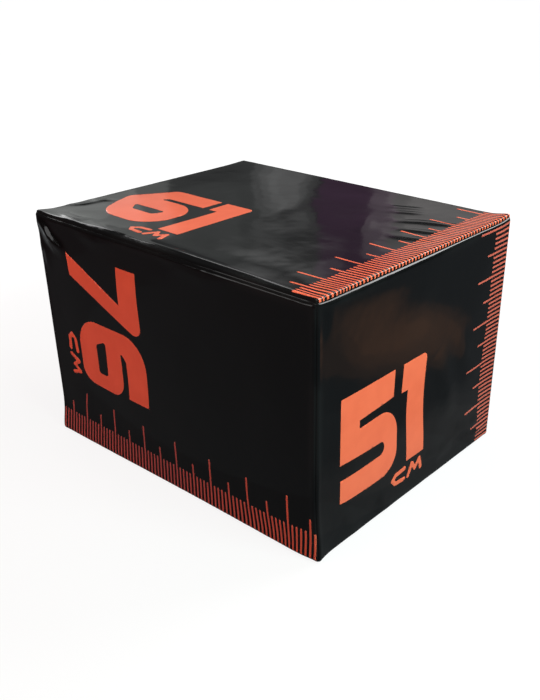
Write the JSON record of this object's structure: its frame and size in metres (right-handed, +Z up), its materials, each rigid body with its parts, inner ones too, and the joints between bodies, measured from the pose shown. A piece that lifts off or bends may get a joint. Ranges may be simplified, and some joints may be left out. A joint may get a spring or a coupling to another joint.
{
  "type": "plyo box",
  "caption": "Soft padded box for jump training: laminated foam in a sewn black vinyl cover with printed heights, rulers and a zipped end flap; stands on three faces for three heights.",
  "frame": {"origin": "middle of the base, on the floor", "axes": "+Z up with the 51 cm side upright, +X along the 76 cm side towards the face marked 51, front face marked 76 on -Y"},
  "size_m": [0.76, 0.61, 0.51],
  "materials": {
    "vinyl": "satin",
    "zip_tape": "matte",
    "zip_coil": "satin",
    "zip_metal": "satin",
    "foam_board": "matte",
    "foam_core": "matte",
    "ink": "satin"
  },
  "bodies": {
    "cover": {"top_panel": "vinyl", "base_panel": "vinyl", "front_panel": "vinyl", "back_panel": "vinyl", "right_panel": "vinyl", "end_frame": "vinyl", "hinge_welt": "vinyl", "zip_tape_frame": "zip_tape", "zip_tape_park": "zip_tape", "zip_coil_frame": "zip_coil", "zip_coil_park": "zip_coil", "zip_top_stop": "zip_metal", "zip_end_stop": "zip_metal", "foam_top_board": "foam_board", "foam_base_board": "foam_board", "foam_front_board": "foam_board", "foam_back_board": "foam_board", "foam_right_board": "foam_board", "foam_end_board": "foam_board", "core_slab_1": "foam_core", "core_slab_2": "foam_core", "core_slab_3": "foam_core", "core_slab_4": "foam_core", "core_slab_5": "foam_core", "core_slab_6": "foam_core", "core_slab_7": "foam_core", "core_slab_8": "foam_core", "print_51": "ink", "print_61": "ink", "print_76": "ink", "ruler_51": "ink", "ruler_61": "ink", "ruler_76": "ink"},
    "flap": {"end_flap": "vinyl", "zip_tape_flap": "zip_tape", "zip_coil_flap": "zip_coil"},
    "slider": {"zip_slider": "zip_metal"},
    "pull": {"zip_pull": "zip_metal"}
  },
  "joints": [
    {"name": "end_flap_hinge", "type": "hinge", "parent": "cover", "child": "flap", "pos_m": [-0.3785, 0, 0.425], "axis": [0, 1, 0], "range_deg": [0, 120]},
    {"name": "zip_slider_slide", "type": "slide", "parent": "cover", "child": "slider", "axis": [0, 0, -1], "range_m": [0, 0.34]},
    {"name": "zip_pull_hinge", "type": "hinge", "parent": "slider", "child": "pull", "pos_m": [-0.3762, 0.251, 0.4616], "axis": [0, 1, 0], "range_deg": [0, 160]}
  ]
}
